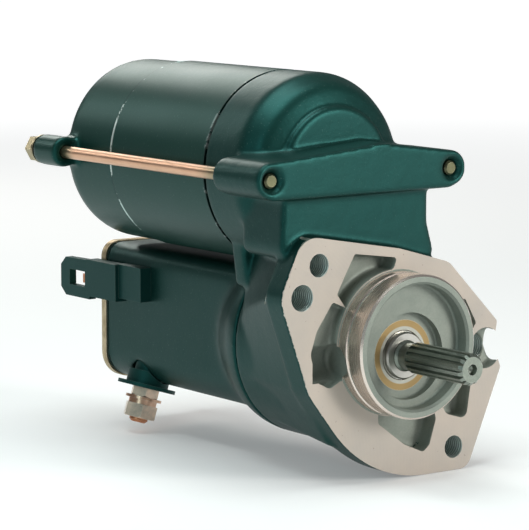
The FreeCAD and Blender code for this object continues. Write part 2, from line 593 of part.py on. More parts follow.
def armature():
    shaft = turned("shaft", [
        ("0", "gear_front - 1"), ("armature_shaft - 1", "gear_front - 1"), ("armature_shaft", "gear_front"),
        ("armature_shaft", "rear_ball_start - 1"), ("rear_journal", "rear_ball_start - 1"),
        ("rear_journal", "rear_ball_start + rear_ball_width + 1"),
        ("0", "rear_ball_start + rear_ball_width + 1")])
    pinion = gear("pinion", "pinion_teeth", "pinion_turn", "motor_x", "motor_z", None)
    keep(fuse("armature_shaft_and_pinion", [shaft, pinion]), "armature_shaft")
    slots = int(value("core_slots"))
    core = doc.addObject("PartDesign::Body", "core")
    disc = new_sketch(core, "XY_Plane")
    disc.addGeometry(Part.Circle(V(0, 0, 0), V(0, 0, 1), value("core_radius")), False)
    disc.addConstraint(Sketcher.Constraint("Coincident", 0, 3, -1, 1))
    index = disc.addConstraint(Sketcher.Constraint("Radius", 0, value("core_radius")))
    disc.setExpression("Constraints[%d]" % index, bound("core_radius"))
    extrude(core, disc, "core_length")
    bore = new_sketch(core, "XY_Plane")
    bore.addGeometry(Part.Circle(V(0, 0, 0), V(0, 0, 1), value("armature_shaft")), False)
    bore.addConstraint(Sketcher.Constraint("Coincident", 0, 3, -1, 1))
    index = bore.addConstraint(Sketcher.Constraint("Radius", 0, value("armature_shaft")))
    bore.setExpression("Constraints[%d]" % index, bound("armature_shaft"))
    extrude(core, bore, "core_length", "PartDesign::Pocket", False)
    slot = new_sketch(core, "XY_Plane")
    draw(slot, [("core_radius - 9.5", "-1.9"), ("core_radius - 1.6", "-2.4"), ("core_radius - 0.8", "-1"),
                ("core_radius + 1", "-1"), ("core_radius + 1", "1"), ("core_radius - 0.8", "1"),
                ("core_radius - 1.6", "2.4"), ("core_radius - 9.5", "1.9")])
    opening = extrude(core, slot, "core_length", "PartDesign::Pocket", False)
    polar(core, opening, "core_slots")
    keep(place(core, "motor_x", "core_front", "motor_z"), "armature_core")
    bars = []
    for angle, _, _ in around(slots, 1):
        bar = Part.makeBox(7.4, 3.4, value("core_length + 1"))
        bar.translate(V(value("core_radius - 9.3"), -1.7, -0.5))
        bar.rotate(V(0, 0, 0), V(0, 0, 1), angle)
        bars.append(bar)
    for low in ("-4", "core_length"):
        ends = Part.makeCylinder(value("core_radius - 1.8"), 4, V(0, 0, value(low)))
        bars.append(ends.cut(Part.makeCylinder(value("armature_shaft + 4"), 4, V(0, 0, value(low)))))
    keep(feature("windings", bars[0].multiFuse(bars[1:]), "motor_x", "core_front", "motor_z", REAR),
         "armature_windings")
    brass = ring("brass", "armature_shaft + 3", "commutator_radius", "commutator_front",
                 "commutator_front + commutator_length")
    riser = ring("riser", "armature_shaft + 3", "commutator_radius + 2.5", "commutator_front - 2",
                 "commutator_front + 2")
    gaps = []
    for angle, _, _ in around(slots, 1):
        gap = Part.makeBox(4, 0.5, 40)
        gap.translate(V(value("commutator_radius - 1"), -0.25, -5))
        gap.rotate(V(0, 0, 0), V(0, 0, 1), angle)
        gaps.append(gap)
    grooves = feature("grooves", Part.makeCompound(gaps), "motor_x", "commutator_front", "motor_z", REAR)
    keep(cut("commutator", fuse("commutator_blank", [brass, riser]), [grooves]), "commutator")
    keep(ring("commutator_hub", "armature_shaft", "armature_shaft + 3", "commutator_front - 2",
              "commutator_front + commutator_length"), "commutator_hub")


# bearings that are made alike: name, bore, outer radius, start, width, axis x, axis z
BEARINGS = [
    ("armature", "armature_shaft", "front_ball_bearing", "front_ball_start", "front_ball_width",
     "motor_x", "motor_z"),
    ("armature", "rear_journal", "rear_ball_bearing", "rear_ball_start", "rear_ball_width",
     "motor_x", "motor_z"),
    ("clutch", "sleeve_radius", "clutch_bearing", "clutch_bearing_front", "clutch_bearing_width",
     "0", "shaft_z"),
    ("clutch", "sleeve_radius", "clutch_bearing", "clutch_rear_start", "clutch_bearing_width",
     "0", "shaft_z"),
]


def bearings():
    """Shielded ball bearings: outer rings sit in the housings, inner rings and balls turn."""
    for owner in ("armature", "clutch"):
        outer_rings, inner_rings, balls = [], [], []
        for name, bore, outer, start, width, x, z in BEARINGS:
            if name != owner:
                continue
            end = "%s + %s" % (start, width)
            third = "(%s - %s) / 3" % (outer, bore)
            lip = "%s + %s + 0.35" % (bore, third)
            ball = value("(%s) / 2 - 0.12" % third)
            outer_rings.append(turned("outer_ring", [
                (outer, start), (outer, end), (lip, end), (lip, end + " - 0.6"),
                ("%s - %s" % (outer, third), end + " - 0.6"), ("%s - %s" % (outer, third), start + " + 0.6"),
                (lip, start + " + 0.6"), (lip, start)], x, z))
            inner_rings.append(ring("inner_ring", bore + " + 0.02", "%s + %s" % (bore, third), start,
                                    end, x, z))
            for _, across, up in around(9, value("(%s + %s) / 2" % (bore, outer))):
                sphere = doc.addObject("Part::Sphere", "ball")
                sphere.Radius = ball
                place(sphere, "%s + %.4f" % (x, across), "%s + %s / 2" % (start, width),
                      "%s + %.4f" % (z, up), PLAIN)
                balls.append(sphere)
        keep(group(owner + "_outer", outer_rings), owner + "_bearing_outer_rings")
        keep(group(owner + "_inner", inner_rings), owner + "_bearing_inner_rings")
        keep(group(owner + "_balls", balls), owner + "_bearing_balls")


def brush_gear():
    inner = "commutator_radius + slip_gap"
    start = "commutator_front + 4.5"
    plate_y = "commutator_front + 18.4"
    disc = ring("brush_disc", "commutator_radius + 2", "yoke_radius - yoke_wall - 1.2", plate_y,
                plate_y + " + 2")
    holders, brushes, springs = [disc], [], []
    tunnel = (11.4, 8.4, value("commutator_front + 18.4 - (%s)" % start) + 0.2)
    for angle, _, _ in around(4, 1, 0):
        holder = Part.makeBox(tunnel[0] + 2, tunnel[1] + 2.4, tunnel[2])
        holder = holder.cut(Part.makeBox(tunnel[0] + 2, tunnel[1], tunnel[2] - 1.2, V(0, 1.2, 1.2)))
        holder.translate(V(value(inner) + 3, -tunnel[1] / 2 - 1.2, 0))
        holder.rotate(V(0, 0, 0), V(0, 0, 1), angle)
        holders.append(feature("holder", Part.makeCompound([holder]), "motor_x", start, "motor_z", REAR))
        brush = Part.makeBox(12, 8, 11.2, V(value(inner) - 1, -4, 1.4))
        brush = brush.cut(Part.makeCylinder(value(inner), 30, V(0, 0, -5)))
        brush.rotate(V(0, 0, 0), V(0, 0, 1), angle)
        brushes.append(brush)
        spring = coil(3.0, 0.4, 7.0, 5)
        spring.rotate(V(0, 0, 0), V(0, 1, 0), 90)
        spring.translate(V(value(inner) + 11.6, 0, 7))
        spring.rotate(V(0, 0, 0), V(0, 0, 1), angle)
        springs.append(spring)
    keep(fuse("brush_holder", holders), "brush_holder_plate")
    keep(feature("brushes", Part.makeCompound(brushes), "motor_x", start, "motor_z", REAR), "brushes")
    keep(feature("springs", Part.makeCompound(springs), "motor_x", start, "motor_z", REAR),
         "brush_springs")


# ================================================================ gear train and clutch
def gear_train():
    race = "idler_pin + 2 * idler_roller + 0.12"
    keep(gear("idler", "idler_teeth", "idler_turn", "idler_x", "idler_z", race), "idler_gear")
    keep(rod("pin", "idler_pin", "gear_front - 8", "plate_front + 3.4 - gear_front + 8", "idler_x",
             "idler_z"), "idler_pin")
    rollers = [rod("idler_roller_pin", "idler_roller", "gear_front + 1", "gear_width - 2",
                   "idler_x + %.4f" % across, "idler_z + %.4f" % up)
               for _, across, up in around(8, value("idler_pin + idler_roller + 0.06"))]
    keep(group("needles", rollers), "idler_rollers")


def clutch():
    keep(gear("wheel", "clutch_teeth", "clutch_turn", "0", "shaft_z", "sleeve_radius + 1"), "clutch_gear")
    pocket = "race_radius + 2 * roller_radius + 0.2"
    keep(turned("shell", [
        (pocket, "clutch_front + 2.4"), (pocket, "gear_front - 2"), ("sleeve_radius + 1", "gear_front - 2"),
        ("sleeve_radius + 1", "gear_front"), ("clutch_shell", "gear_front"),
        ("clutch_shell", "clutch_front + 1"), ("clutch_shell - 1", "clutch_front"),
        ("race_radius + 1.2", "clutch_front"), ("race_radius + 1.2", "clutch_front + 2.4")],
        "0", "shaft_z"), "clutch_shell")
    spot = value("race_radius + roller_radius + 0.1")
    rollers = [rod("clutch_roller", "roller_radius", "clutch_front + 3", "gear_front - clutch_front - 6",
                   "%.4f" % across, "shaft_z + %.4f" % up) for _, across, up in around(6, spot)]
    keep(group("clutch_roller_set", rollers), "clutch_rollers")
    springs = []
    for _, across, up in around(6, spot, 30):
        springs.append(rod("clutch_spring", "1.6", "clutch_front + 4", "gear_front - clutch_front - 8",
                           "%.4f" % across, "shaft_z + %.4f" % up))
    keep(group("roller_springs", springs), "roller_spring_retainers")

    sleeve = turned("sleeve", [
        ("shaft_radius + slip_gap", "clutch_bearing_front - 2.2"),
        ("collar_radius - 0.6", "clutch_bearing_front - 2.2"), ("collar_radius", "clutch_bearing_front - 1.6"),
        ("collar_radius", "clutch_bearing_front"), ("sleeve_radius", "clutch_bearing_front"),
        ("sleeve_radius", "clutch_front - 0.6"), ("race_radius", "clutch_front - 0.6"),
        ("race_radius", "gear_front - 2.6"), ("sleeve_radius", "gear_front - 2.6"),
        ("sleeve_radius", "clutch_rear_start + clutch_bearing_width + 1"),
        ("shaft_radius + slip_gap", "clutch_rear_start + clutch_bearing_width + 1")], "0", "shaft_z")
    key = new_sketch(sleeve, "XY_Plane", "-(clutch_rear_start + clutch_bearing_width)")
    draw(key, [("shaft_radius - 0.9", "-1.2"), ("shaft_radius + 0.6", "-1.2"),
               ("shaft_radius + 0.6", "1.2"), ("shaft_radius - 0.9", "1.2")])
    keys = extrude(sleeve, key, "16", "PartDesign::Pad", False)
    polar(sleeve, keys, "6")
    keep(sleeve, "clutch_sleeve")


def output_shaft():
    tail = "shaft_tail"
    shaft = turned("shaft_blank", [
        ("0", "3 - tip_reach"), ("1.6", "2 - tip_reach"), ("2.2", "-tip_reach"),
        ("shaft_radius - 1.2", "-tip_reach"), ("shaft_radius", "1.4 - tip_reach"),
        ("shaft_radius", "spline_length - tip_reach"), ("neck_radius", "spline_length - tip_reach + 1.5"),
        ("neck_radius", "clutch_bearing_front - 3.4"), ("shaft_radius", "clutch_bearing_front - 2.6"),
        ("shaft_radius", tail), ("0", tail)], "0", "shaft_z")
    gap = new_sketch(shaft, "XY_Plane", "tip_reach")
    draw(gap, [("shaft_radius - 1.15", "-0.35"), ("shaft_radius + 0.3", "-0.95"),
               ("shaft_radius + 0.3", "0.95"), ("shaft_radius - 1.15", "0.35")])
    gaps = extrude(shaft, gap, "spline_length", "PartDesign::Pocket", False)
    polar(shaft, gaps, "spline_teeth")
    slot = new_sketch(shaft, "XY_Plane", "-(clutch_rear_start + clutch_bearing_width - 18)")
    draw(slot, [("shaft_radius - 1.1", "-1.4"), ("shaft_radius + 0.5", "-1.4"),
                ("shaft_radius + 0.5", "1.4"), ("shaft_radius - 1.1", "1.4")])
    slots = extrude(shaft, slot, "18 + shaft_travel + 2", "PartDesign::Pocket", False)
    polar(shaft, slots, "6")
    keep(shaft, "output_shaft")
    keep(ring("shaft_retainer", "shaft_radius + 0.02", "sleeve_radius + 2.2", "shaft_tail - 3",
              "shaft_tail - 0.8", "0", "shaft_z"), "shaft_retainer")
    start = value("clutch_rear_start + clutch_bearing_width + 1.4")
    length = value("shaft_tail - 3.4") - start - 1.4
    spring = coil(value("sleeve_radius + 0.7"), 0.6, length, 6)
    keep(feature("shaft_spring", spring, "0", str(start + 0.7), "shaft_z", REAR), "shaft_return_spring")


# ================================================================ solenoid
def rounded_box(name, half, low, high, upper, lower, front, depth):
    """A box section with its own corner radius above and below, along Y."""
    return plate(name, [("-(%s)" % half, low, lower), (half, low, lower), (half, high, upper),
                        ("-(%s)" % half, high, upper)], front, depth)


COVER_SCREWS = [("%s * (box_half_width - 6.5)" % side, height)
                for side in ("-1", "1") for height in ("7 - box_bottom", "box_top - 6.5")]


def solenoid_case():
    box = rounded_box("box", "box_half_width", "-box_bottom", "box_top", "7", "12", "yoke_front",
                      "box_rear - yoke_front")
    collar = turned("collar", [("0", "yoke_front + 0.05"), ("case_radius", "yoke_front + 0.05"),
                               ("case_radius", "collar_rear - 6"), ("case_radius - 2", "collar_rear"),
                               ("30", "collar_rear + 15"), ("0", "collar_rear + 15")], "0", "shaft_z")
    trim = block("collar_trim", "-60", "yoke_front - 1", "box_top", "120", "60", "60")
    skirt = cut("skirt", collar, [trim])
    spigot = [rod("wheel_plate", "case_radius - case_wall - slip_gap", "plate_front + slip_gap",
                  "plate_thickness - slip_gap", "0", "shaft_z"),
              rod("motor_plate", "yoke_radius - yoke_wall - slip_gap", "plate_front + slip_gap",
                  "plate_thickness - slip_gap", "motor_x", "motor_z"),
              plate("waist_plate", waist_corners("slip_gap"), "plate_front + slip_gap",
                    "plate_thickness - slip_gap"),
              rod("bearing_hub", "front_ball_bearing + 3", "plate_front + slip_gap",
                  "front_ball_start + front_ball_width - plate_front + 0.5", "motor_x", "motor_z")]
    solid = fuse("solenoid_casting", [box, skirt] + spigot)
    tools = [
        rod("coil_room", "coil_radius + 0.7", "coil_front", "coil_length + 2.5", "0", "shaft_z"),
        rounded_box("contact_room", "box_half_width - box_wall", "box_wall - box_bottom", "box_top - box_wall",
                    "4", "9",
                    "coil_front + coil_length + 2", "box_rear"),
        rod("shaft_room", "sleeve_radius + 4.5", "yoke_front", "coil_front", "0", "shaft_z"),
        rod("rear_seat", "clutch_bearing + 0.02", "0", "clutch_rear_start + clutch_bearing_width", "0",
            "shaft_z"),
        rod("front_seat", "front_ball_bearing + 0.02", "front_ball_start", "20", "motor_x", "motor_z"),
        rod("shaft_pass", "armature_shaft + 1", "0", "80", "motor_x", "motor_z"),
        rod("pin_seat", "idler_pin + 0.02", "0", "plate_front + 3.5", "idler_x", "idler_z"),
        tilted("stud_pass", "stud_radius + 2.9", "12", "34"),
        cross_rod("motor_stud_pass", "stud_radius + 2.9", "20", "20", "stud_station", "shaft_z"),
    ]
    tools += [rod("screw_hole", "2.3", "box_rear - 16", "20", x, z) for x, z in COVER_SCREWS]
    keep(cut("solenoid_housing", solid, tools), "solenoid_housing")
    keep(end_sheet("gasket_sheet", "box_rear", "gasket", "0"), "solenoid_gasket")
    keep(end_sheet("end_cover", "box_rear + gasket", "end_plate", "0.5"), "solenoid_end_cover")
    screws = []
    for x, z in COVER_SCREWS:
        screws.append(turned("screw", [
            ("0", "box_rear - 12"), ("2.2", "box_rear - 12"), ("2.2", "box_rear + gasket + end_plate"),
            ("4.2", "box_rear + gasket + end_plate"), ("4.2", "box_rear + gasket + end_plate + 1.6"),
            ("3.2", "box_rear + gasket + end_plate + 2.6"), ("1.6", "box_rear + gasket + end_plate + 2.6"),
            ("1.6", "box_rear + gasket + end_plate + 1.2"), ("0", "box_rear + gasket + end_plate + 1.2")],
            x, z))
    keep(group("cover_screw_set", screws), "cover_screws")


def end_sheet(name, front, thickness, extra):
    sheet_body = rounded_box(name + "_blank", "box_half_width + " + extra, "-box_bottom - " + extra,
                             "box_top + " + extra, "7", "12", front, thickness)
    holes = [rod("sheet_hole", "2.3", "box_rear - 1", "10", x, z) for x, z in COVER_SCREWS]
    return cut(name, sheet_body, holes)


def tilted(name, radius, start, length):
    """A cylinder on the battery stud's axis, out through the box's lower left corner."""
    turn = FreeCAD.Rotation(V(0, 1, 0), 180 + value("stud_tilt"))
    body = doc.addObject("Part::Cylinder", name)
    body.setExpression("Radius", bound(radius))
    body.setExpression("Height", bound(length))
    return place(body, "-15 - (%s) * sin(stud_tilt)" % start, "stud_station",
                 "-6 - (%s) * cos(stud_tilt)" % start, turn)


def tilted_cone(name, radius, tip, start, length):
    """A cone on the battery stud's axis, narrowing outwards from radius to tip."""
    turn = FreeCAD.Rotation(V(0, 1, 0), 180 + value("stud_tilt"))
    body = doc.addObject("Part::Cone", name)
    body.setExpression("Radius1", bound(radius))
    body.setExpression("Radius2", bound(tip))
    body.setExpression("Height", bound(length))
    return place(body, "-15 - (%s) * sin(stud_tilt)" % start, "stud_station",
                 "-6 - (%s) * cos(stud_tilt)" % start, turn)


def tilted_nut(name, half_flats, start, depth):
    """A hexagon nut on the battery stud's axis, with its outer corners chamfered at 30 degrees."""
    turn = FreeCAD.Rotation(V(0, 1, 0), 180 + value("stud_tilt"))
    body = doc.addObject("Part::Prism", name + "_hexagon")
    body.Polygon = 6
    body.setExpression("Circumradius", bound("(%s) / cos(30)" % half_flats))
    body.setExpression("Height", bound(depth))
    place(body, "-15 - (%s) * sin(stud_tilt)" % start, "stud_station",
          "-6 - (%s) * cos(stud_tilt)" % start, turn)
    slope = "%s + (%s) * tan(60)" % (half_flats, depth)
    nut = doc.addObject("Part::Common", name)
    nut.Base = body
    nut.Tool = tilted_cone(name + "_chamfer", slope, half_flats, start, depth)
    return nut


def terminals():
    keep(fuse("battery_bolt", [tilted("battery_shank", "stud_radius", "8", "37.6"),
                               tilted_cone("battery_tip", "stud_radius", "stud_radius - 1", "45.6", "1")]),
         "battery_stud")
    bore = tilted("boss_bore", "stud_radius + fit_gap", "10", "30")
    corner = rounded_box("boss_trim", "box_half_width + fit_gap", "-box_bottom - fit_gap", "box_top",
                         "7", "12", "yoke_front", "box_rear - yoke_front")
    collars = fuse("boss_collars", [tilted("boss_collar", "9.2", "24.5", "5.5"),
                                    tilted("boss_flange", "12.6", "30", "1.6")])
    pieces = fuse("battery_boss", [cut("boss_outside", collars, [corner]),
                                   tilted("boss_neck", "stud_radius + 2.8", "14", "17")])
    keep(cut("battery_insulator", pieces, [bore]), "battery_stud_insulator")
    washers = [cut("plain_washer", tilted("washer", "7.8", "35.5", "1.2"),
                   [tilted("washer_bore", "stud_radius + slip_gap", "35", "3")]),
               cut("lock_washer", tilted("lock", "6.1", "36.7", "2.1"),
                   [tilted("lock_bore", "stud_radius + slip_gap", "36", "4")])]
    keep(group("battery_washer_set", washers), "battery_washers")
    nuts = [cut("lower_nut", tilted_nut("thin_nut", "5.6", "31.6", "3.9"),
                [tilted("thin_bore", "stud_radius + 0.02", "31", "6")]),
            cut("outer_nut", tilted_nut("thick_nut", "6.5", "38.8", "5.9"),
                [tilted("thick_bore", "stud_radius + 0.02", "38", "8")])]
    keep(group("battery_nut_set", nuts), "battery_nuts")
    station = "stud_station"
    keep(cross_rod("motor_bolt", "stud_radius", "16", "27", station, "shaft_z"), "motor_stud")
    collar = fuse("motor_boss", [cross_rod("motor_boss_a", "9", "box_half_width", "3", station, "shaft_z"),
                                 cross_rod("motor_boss_b", "stud_radius + 2.8", "22", "9", station,
                                           "shaft_z")])
    keep(cut("motor_insulator", collar, [cross_rod("motor_boss_bore", "stud_radius + fit_gap", "20",
                                                   "20", station, "shaft_z")]), "motor_stud_insulator")
    nut = doc.addObject("Part::Prism", "motor_nut_blank")
    nut.Polygon = 6
    nut.setExpression("Circumradius", bound("6.5 / cos(30)"))
    nut.setExpression("Height", "6")
    place(nut, "box_half_width + 3", station, "shaft_z", ACROSS)
    keep(cut("motor_nut_cut", nut, [cross_rod("motor_nut_bore", "stud_radius + 0.02", "28", "20", station,
                                              "shaft_z")]), "motor_nut")
    contact_front = "coil_front + coil_length + 5"
    battery_pad = block("battery_pad", "-22", contact_front, "shaft_z - 11", "15", "contact_thickness", "16")
    motor_pad = block("motor_pad", "7", contact_front, "shaft_z - 7", "15", "contact_thickness", "14")
    seat = "stud_radius + 0.02"
    keep(cut("battery_contact_cut", battery_pad, [tilted("battery_notch", seat, "7.9", "20")]),
         "battery_contact")
    keep(cut("motor_contact_cut", motor_pad,
             [cross_rod("motor_notch", seat, "15.9", "20", station, "shaft_z")]), "motor_contact")


def solenoid_works():
    rear = "coil_front + coil_length"
    bobbin_bore = "plunger_radius + 0.4"
    keep(turned("bobbin", [
        (bobbin_bore, "coil_front"), ("coil_radius", "coil_front"), ("coil_radius", "coil_front + 2"),
        (bobbin_bore + " + 1.2", "coil_front + 2"), (bobbin_bore + " + 1.2", rear + " - 2"),
        ("coil_radius", rear + " - 2"), ("coil_radius", rear), (bobbin_bore, rear)], "0", "shaft_z"),
        "coil_bobbin")
    keep(ring("winding", bobbin_bore + " + 1.25", "coil_radius - 1", "coil_front + 2.1", rear + " - 2.1",
              "0", "shaft_z"), "solenoid_coil")
    keep(turned("core_plug", [
        ("push_pin + 0.4", "coil_front - 2.5"), ("sleeve_radius + 4.4", "coil_front - 2.5"),
        ("sleeve_radius + 4.4", "coil_front"), (bobbin_bore + " - 0.1", "coil_front"),
        (bobbin_bore + " - 0.1", "coil_front + core_plug_length"),
        ("push_pin + 0.4", "coil_front + core_plug_length")], "0", "shaft_z"), "solenoid_core")
    keep(ring("rear_plate", "plunger_radius + 0.6", "coil_radius + 0.6", rear + " + 0.1", rear + " + 2.2",
              "0", "shaft_z"), "solenoid_rear_plate")
    face = "coil_front + core_plug_length + shaft_travel + 0.6"
    back = "%s + plunger_length" % face
    keep(turned("plunger_blank", [
        ("push_pin", face + " + 9"), ("push_pin + 3.6", face + " + 9"), ("push_pin + 3.6", face),
        ("plunger_radius", face), ("plunger_radius", back), ("push_pin", back)], "0", "shaft_z"), "plunger")
    disc_y = "coil_front + coil_length + 5 + contact_thickness + shaft_travel + 0.4"
    keep(turned("pin_blank", [
        ("0", "shaft_tail + 0.4"), ("push_pin - 0.8", "shaft_tail + 0.4"), ("push_pin", "shaft_tail + 1.2"),
        ("push_pin", disc_y + " + disc_thickness + 1.6"), ("0", disc_y + " + disc_thickness + 1.6")],
        "0", "shaft_z"), "push_pin")
    keep(ring("contact_plate", "push_pin + 1.6", "disc_radius", disc_y, disc_y + " + disc_thickness",
              "0", "shaft_z"), "contact_disc")
    keep(turned("disc_bush", [
        ("push_pin", disc_y + " - 1.5"), ("push_pin + 3.5", disc_y + " - 1.5"),
        ("push_pin + 3.5", disc_y), ("push_pin + 1.6", disc_y),
        ("push_pin + 1.6", disc_y + " + disc_thickness + 1.2"), ("push_pin", disc_y + " + disc_thickness + 1.2")],
        "0", "shaft_z"), "contact_disc_bush")
    start = value("coil_front + core_plug_length + 0.6")
    length = value("shaft_travel + 9.4") - 1.4
    spring = coil(value("push_pin + 1.8"), 0.6, length, 6)
    keep(feature("plunger_spring", spring, "0", str(start + 0.3), "shaft_z", REAR),
         "plunger_return_spring")


def connector():
    """The control plug's shell on the box's left side, a frame with one through window."""
    side = "-box_half_width"
    base = block("plug_base", side + " - 5.4", "stud_station - 11", "3.2", "5.4", "19", "14.6")
    arm = block("plug_arm", side + " - 7", "stud_station + 6", "1.6", "5.8", "23", "16")
    head = doc.addObject("PartDesign::Body", "plug_head")
    shape = new_sketch(head, "YZ_Plane")
    front, back = "stud_station + 27", "stud_station + 50"
    draw(shape, [(front, "0.2"), (back + " - 4", "0.2"), (back, "3.6"), (back, "13.4"),
                 (back + " - 4", "17"), (front, "17.4")])
    pad = extrude(head, shape, "3.4")
    pad.Midplane = True
    doc.recompute()
    place(head, side + " - 5.2", "0", "0", PLAIN)
    window = block("plug_window", side + " - 12", "stud_station + 30.5", "5.2", "16", "12.4", "6.8")
    slot = block("blade_slot", side + " - 5.02", "stud_station + 23.9", "6.58", "0.84", "8", "4.04")
    keep(cut("plug", fuse("plug_blank", [base, arm, head]), [window, slot]), "connector_housing")
    keep(block("blade", side + " - 5", "stud_station + 24", "6.6", "0.8", "11", "4"), "connector_terminal")


drive_housing()
motor_case()
through_bolts()
magnets()
armature()
bearings()
brush_gear()
gear_train()
clutch()
output_shaft()
solenoid_case()
terminals()
solenoid_works()
connector()
doc.recompute()

for item in doc.Objects:
    if any(word in state for state in item.State for word in ("Invalid", "Error")):
        owner = item.getParentGeoFeatureGroup() or item
        raise RuntimeError("%s in %s did not build: %s" % (item.Name, owner.Name, item.State))
for item in NODES:
    if item.Shape.isNull() or not item.Shape.isValid():
        raise RuntimeError("%s has no valid shape" % item.Label)
os.makedirs("parts", exist_ok=True)
for item in NODES:
    item.Shape.exportStep("parts/%s.step" % item.Label)
print("wrote %d nodes" % len(NODES))
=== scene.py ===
"""Looks of an offset gear-reduction starter motor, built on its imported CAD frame.

The drive housing, the solenoid housing and the rear cover are shown as softened skins grown from
their CAD solids. The drive housing's machined faces are shown crisp on top of its skin. Metres
throughout.
"""

import math

import bmesh
import bpy
import numpy as np
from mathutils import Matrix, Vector
from mathutils.bvhtree import BVHTree
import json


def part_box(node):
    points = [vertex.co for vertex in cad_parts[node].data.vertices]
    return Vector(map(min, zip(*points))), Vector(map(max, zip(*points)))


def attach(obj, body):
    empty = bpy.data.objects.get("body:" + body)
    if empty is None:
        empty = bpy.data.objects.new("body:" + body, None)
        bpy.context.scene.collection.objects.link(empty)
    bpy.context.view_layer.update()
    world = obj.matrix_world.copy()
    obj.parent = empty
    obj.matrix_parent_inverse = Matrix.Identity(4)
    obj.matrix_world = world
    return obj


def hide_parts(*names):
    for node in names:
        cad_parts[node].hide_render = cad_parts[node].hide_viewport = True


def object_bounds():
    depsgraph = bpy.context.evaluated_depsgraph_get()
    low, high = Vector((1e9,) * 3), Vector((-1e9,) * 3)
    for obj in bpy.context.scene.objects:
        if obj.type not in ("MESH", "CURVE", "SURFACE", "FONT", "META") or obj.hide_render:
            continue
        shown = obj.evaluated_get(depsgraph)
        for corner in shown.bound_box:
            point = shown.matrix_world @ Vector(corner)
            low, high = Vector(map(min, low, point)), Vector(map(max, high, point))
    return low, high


MM = 0.001

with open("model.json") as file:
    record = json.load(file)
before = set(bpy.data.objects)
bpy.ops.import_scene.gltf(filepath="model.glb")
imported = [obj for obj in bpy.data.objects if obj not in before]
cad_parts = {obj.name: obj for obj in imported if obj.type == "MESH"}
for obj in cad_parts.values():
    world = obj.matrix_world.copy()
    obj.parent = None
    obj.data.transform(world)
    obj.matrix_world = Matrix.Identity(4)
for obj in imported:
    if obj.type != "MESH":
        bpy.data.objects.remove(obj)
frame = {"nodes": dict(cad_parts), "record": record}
cad_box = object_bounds()

# places on the drive housing, from the record and the frame
MOUNTS = {m["name"]: m for m in frame["record"]["mounts"]}
SHAFT_AXIS = Vector(MOUNTS["output_spline"]["pos_m"])
PILOT_RADIUS = MOUNTS["pilot"]["dims"]["r_mm"] * MM
SHIELD_RADIUS = 11.4 * MM  # where the bearing's shield meets its outer ring
FLANGE_TOP = 50 * MM
FLANGE_DEPTH = 12 * MM
HOLE_DEPTH = 19 * MM
PILOT_FLOOR_DEPTH = 30 * MM
BORE_DEPTH = 40 * MM
CASTING_DEPTH = 45 * MM
POCKET_REACH = 36 * MM
RIDGE_RADIUS = 29.5 * MM
FLAT = 0.05 * MM           # how far a point may stray from a machined plane
SKIN_REACH = 0.4 * MM      # how far the softened skin strays past a bore's wall
SKIN_DROP = 0.25 * MM      # how far the skin lies beneath the machined faces
FACING = 0.6               # a face whose normal is steeper than this counts as turned that way
# the flange's top edge in the front view, from its left corner to its right shoulder
TOP_EDGE_X = (-0.0455, 0.002, 0.027)
TOP_EDGE_Z = (0.0456, 0.0372, 0.030)
# beyond this corner of the front view the neck's front shows beside the flange
LEFT_SHOULDER = Vector((-0.043, 0.0, 0.030))


# ---------------------------------------------------------------- shader building
class Signal:
    """An output socket. Arithmetic on it adds Math nodes and gives a new Signal."""

    def __init__(self, tree, socket):
        self.tree = tree
        self.socket = socket

    def math(self, operation, *others):
        node = self.tree.nodes.new("ShaderNodeMath")
        node.operation = operation
        for place, item in zip(node.inputs, (self,) + others):
            feed(self.tree, place, item)
        return Signal(self.tree, node.outputs[0])

    def __add__(self, other):
        return self.math("ADD", other)

    def __sub__(self, other):
        return self.math("SUBTRACT", other)

    def __mul__(self, other):
        return self.math("MULTIPLY", other)

    def __rsub__(self, other):
        return self.math("MULTIPLY_ADD", -1.0, other)

    __radd__ = __add__
    __rmul__ = __mul__


def feed(tree, place, item):
    """Sets one input to a constant, or links a Signal into it."""
    if isinstance(item, Signal):
        tree.links.new(item.socket, place)
    else:
        place.default_value = item


def add_node(tree, kind, settings, inputs, output=0):
    """Any node: its type, its settings, then values or signals for its inputs."""
    node = tree.nodes.new(kind)
    for name, setting in settings.items():
        setattr(node, name, setting)
    for name, item in inputs.items():
        feed(tree, node.inputs[name], item)
    return Signal(tree, node.outputs[output])


